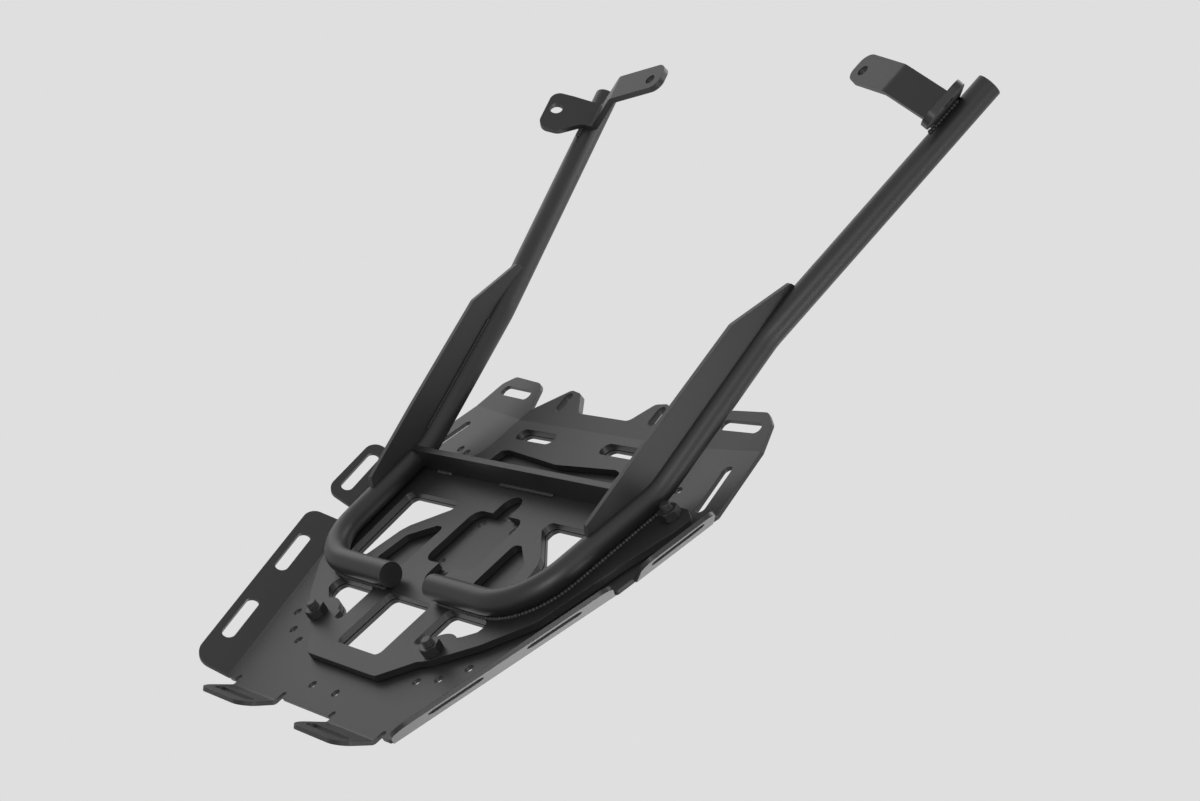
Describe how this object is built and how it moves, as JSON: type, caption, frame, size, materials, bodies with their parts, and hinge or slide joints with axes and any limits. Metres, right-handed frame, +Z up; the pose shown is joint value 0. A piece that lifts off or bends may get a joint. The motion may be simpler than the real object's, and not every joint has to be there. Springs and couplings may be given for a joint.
{
  "type": "motorcycle luggage rack",
  "caption": "Flat folded plate with strap slots and cut-out windows on a stiffening plate, carried by splayed tubes with gussets and bent front brackets.",
  "frame": {"origin": "centre of the four-hole accessory pattern on the luggage face", "axes": "+Z up out of the luggage face, +Y forward along the motorcycle towards the front brackets, +X to its right"},
  "size_m": [0.469, 0.5844, 0.1421],
  "materials": {
    "powder_coat": "satin black powder coat",
    "fastener": "black zinc plated steel"
  },
  "bodies": {
    "root": {"base_plate": "powder_coat", "cross_plate": "powder_coat", "frame_tube_left": "powder_coat", "frame_tube_right": "powder_coat", "front_bracket_left": "powder_coat", "front_bracket_right": "powder_coat", "gusset_left": "powder_coat", "gusset_right": "powder_coat", "nut_front_left": "fastener", "nut_front_right": "fastener", "nut_rear_left": "fastener", "nut_rear_right": "fastener", "screw_front_left": "fastener", "screw_front_right": "fastener", "screw_rear_left": "fastener", "screw_rear_right": "fastener", "spacer_front_left": "fastener", "spacer_front_right": "fastener", "spacer_rear_left": "fastener", "spacer_rear_right": "fastener", "top_plate": "powder_coat", "tube_plug_front_left": "powder_coat", "tube_plug_front_right": "powder_coat", "tube_plug_rear_left": "powder_coat", "tube_plug_rear_right": "powder_coat"}
  },
  "joints": []
}
